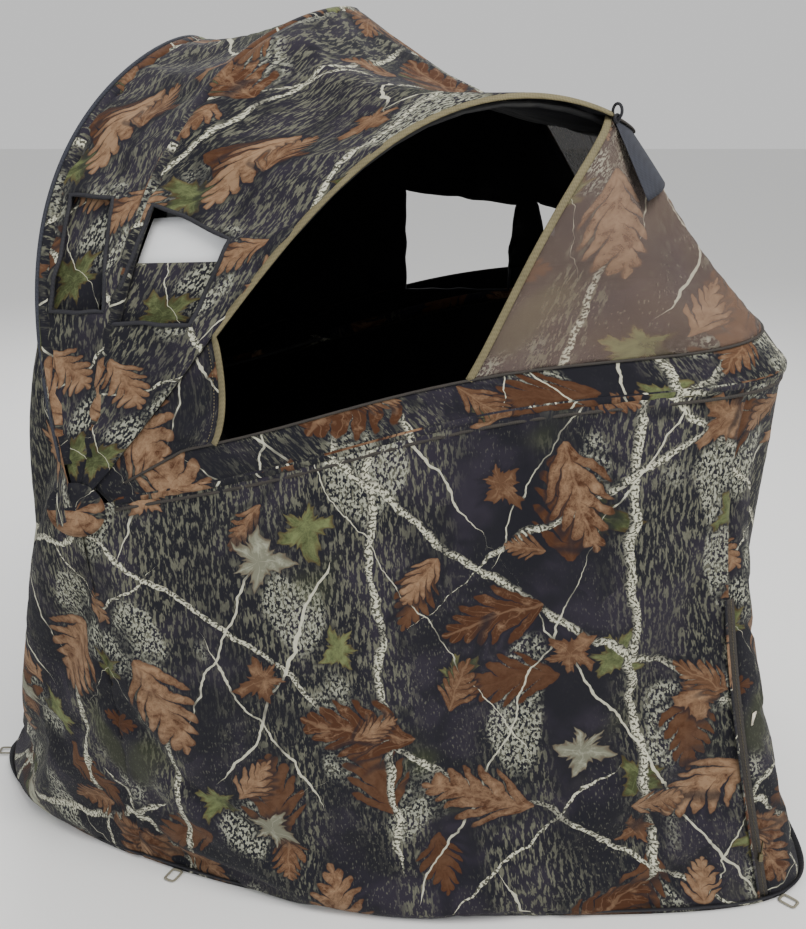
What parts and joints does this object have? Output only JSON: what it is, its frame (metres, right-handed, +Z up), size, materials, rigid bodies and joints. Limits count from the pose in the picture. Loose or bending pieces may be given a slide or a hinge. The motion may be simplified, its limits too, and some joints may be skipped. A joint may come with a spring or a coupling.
{
  "type": "pop up ground blind",
  "caption": "One-person camouflage ground blind: a folding tube chair carries four pivoting hoops, a skirted fabric skin, a side opening and slide-down window panels.",
  "frame": {"origin": "middle of the footprint on the ground", "axes": "+Z up; the front faces -Y; X runs across, with the open side on -X"},
  "size_m": [0.9864, 1.701, 1.5205],
  "materials": {
    "camo_fabric": "matte printed woven polyester",
    "mesh_fabric": "see-through printed mesh",
    "lining_fabric": "matte black coated lining",
    "panel_fabric": "matte printed fabric",
    "sling_fabric": "heavy woven polyester",
    "frame_paint": "satin black powder coat",
    "zinc": "bright zinc plate",
    "bracket_steel": "satin black",
    "black_plastic": "moulded, fine grain",
    "nylon_washer": "moulded nylon",
    "hoop_steel": "satin black",
    "eye_steel": "pressed steel",
    "zip_tape": "woven zip tape",
    "zip_metal": "painted die casting",
    "webbing": "narrow woven webbing",
    "black_webbing": "narrow cord",
    "tag_fabric": "smooth ribbon"
  },
  "bodies": {
    "chair": {"back_frame": "frame_paint", "back_rail": "frame_paint", "leg_pivot_bolts": "zinc", "leg_pivot_nuts": "zinc", "back_foot_caps": "black_plastic", "back_sling": "sling_fabric", "hub_brackets": "bracket_steel", "hub_pins": "zinc", "hub_nuts": "zinc", "hub_washers": "nylon_washer", "rear_wall_left": "camo_fabric", "rear_wall_back": "camo_fabric", "rear_wall_right": "camo_fabric", "pivot_patches": "camo_fabric"},
    "legs": {"leg_frame": "frame_paint", "leg_foot_caps": "black_plastic", "seat_sling": "sling_fabric"},
    "rear_hoop_body": {"rear_hoop": "hoop_steel", "rear_hoop_eyes": "eye_steel", "rear_roof_left": "camo_fabric", "rear_roof_top": "camo_fabric", "rear_roof_right": "camo_fabric"},
    "top_hoop_body": {"top_hoop": "hoop_steel", "top_hoop_eyes": "eye_steel", "main_roof_left": "camo_fabric", "main_roof_top": "camo_fabric", "main_roof_right": "camo_fabric"},
    "upper_hoop_body": {"upper_front_hoop": "hoop_steel", "upper_front_hoop_eyes": "eye_steel", "front_mesh": "mesh_fabric", "left_gusset": "camo_fabric", "right_door": "lining_fabric", "tie_loop": "black_webbing"},
    "lower_hoop_body": {"lower_front_hoop": "hoop_steel", "lower_front_hoop_eyes": "eye_steel", "sill_band_left": "camo_fabric", "sill_band_front": "camo_fabric", "sill_band_right": "camo_fabric", "skirt_left": "camo_fabric", "skirt_front": "camo_fabric", "skirt_right": "camo_fabric", "corner_zips": "zip_tape", "stake_loops": "webbing", "hem_tag": "tag_fabric"},
    "rear_panel_left_body": {"rear_window_panel_left": "panel_fabric"},
    "rear_panel_right_body": {"rear_window_panel_right": "panel_fabric"},
    "side_panel_left_body": {"side_window_panel_left": "panel_fabric"},
    "side_panel_right_body": {"side_window_panel_right": "panel_fabric"},
    "door_panel_body": {"door_window_panel": "panel_fabric"},
    "left_slider_body": {"left_zip_slider": "zip_metal"},
    "right_slider_body": {"right_zip_slider": "zip_metal"}
  },
  "joints": [
    {"name": "leg_fold", "type": "hinge", "parent": "chair", "child": "legs", "pos_m": [0, 0.11926, 0.29118], "axis": [-1, 0, 0], "range_deg": [0, 78], "deforming": ["seat_sling"]},
    {"name": "hood_fold", "type": "hinge", "parent": "chair", "child": "rear_hoop_body", "pos_m": [0, 0.465, 0.765], "axis": [-1, 0, 0], "range_deg": [0, 58], "deforming": ["rear_wall_left", "rear_wall_back", "rear_wall_right", "rear_roof_left", "rear_roof_top", "rear_roof_right", "rear_window_panel_left", "rear_window_panel_right", "pivot_patches"]},
    {"name": "top_hoop_fold", "type": "hinge", "parent": "rear_hoop_body", "child": "top_hoop_body", "pos_m": [0, 0.465, 0.765], "axis": [-1, 0, 0], "range_deg": [0, 19], "deforming": ["main_roof_left", "main_roof_top", "main_roof_right", "side_window_panel_left", "side_window_panel_right"]},
    {"name": "upper_hoop_fold", "type": "hinge", "parent": "top_hoop_body", "child": "upper_hoop_body", "pos_m": [0, 0.465, 0.765], "axis": [-1, 0, 0], "range_deg": [0, 15], "deforming": ["front_mesh", "left_gusset", "right_door", "door_window_panel"]},
    {"name": "lower_hoop_fold", "type": "hinge", "parent": "upper_hoop_body", "child": "lower_hoop_body", "pos_m": [0, 0.465, 0.765], "axis": [-1, 0, 0], "range_deg": [0, 23], "deforming": ["sill_band_left", "sill_band_front", "sill_band_right", "skirt_left", "skirt_front", "skirt_right", "corner_zips", "stake_loops", "hem_tag"]},
    {"name": "rear_panel_left_slide", "type": "slide", "parent": "rear_hoop_body", "child": "rear_panel_left_body", "axis": [0, 0.0174, -0.9998], "range_m": [0, 0.1]},
    {"name": "rear_panel_right_slide", "type": "slide", "parent": "rear_hoop_body", "child": "rear_panel_right_body", "axis": [0, 0.0174, -0.9998], "range_m": [0, 0.1]},
    {"name": "side_panel_left_slide", "type": "slide", "parent": "top_hoop_body", "child": "side_panel_left_body", "axis": [0, -0.4695, 0.8829], "range_m": [-0.08, 0.05]},
    {"name": "side_panel_right_slide", "type": "slide", "parent": "top_hoop_body", "child": "side_panel_right_body", "axis": [0, -0.4695, 0.8829], "range_m": [-0.08, 0.05]},
    {"name": "door_panel_slide", "type": "slide", "parent": "upper_hoop_body", "child": "door_panel_body", "axis": [0, -0.9578, 0.2874], "range_m": [0, 0.3]},
    {"name": "left_zip_slide", "type": "slide", "parent": "lower_hoop_body", "child": "left_slider_body", "axis": [0, 0, 1], "range_m": [0, 0.12]},
    {"name": "right_zip_slide", "type": "slide", "parent": "lower_hoop_body", "child": "right_slider_body", "axis": [0, 0, 1], "range_m": [0, 0.12]}
  ],
  "couplings": [
    {"joint": "top_hoop_fold", "follows": "hood_fold", "ratio": 0.32759},
    {"joint": "upper_hoop_fold", "follows": "hood_fold", "ratio": 0.25862},
    {"joint": "lower_hoop_fold", "follows": "hood_fold", "ratio": 0.39655}
  ]
}
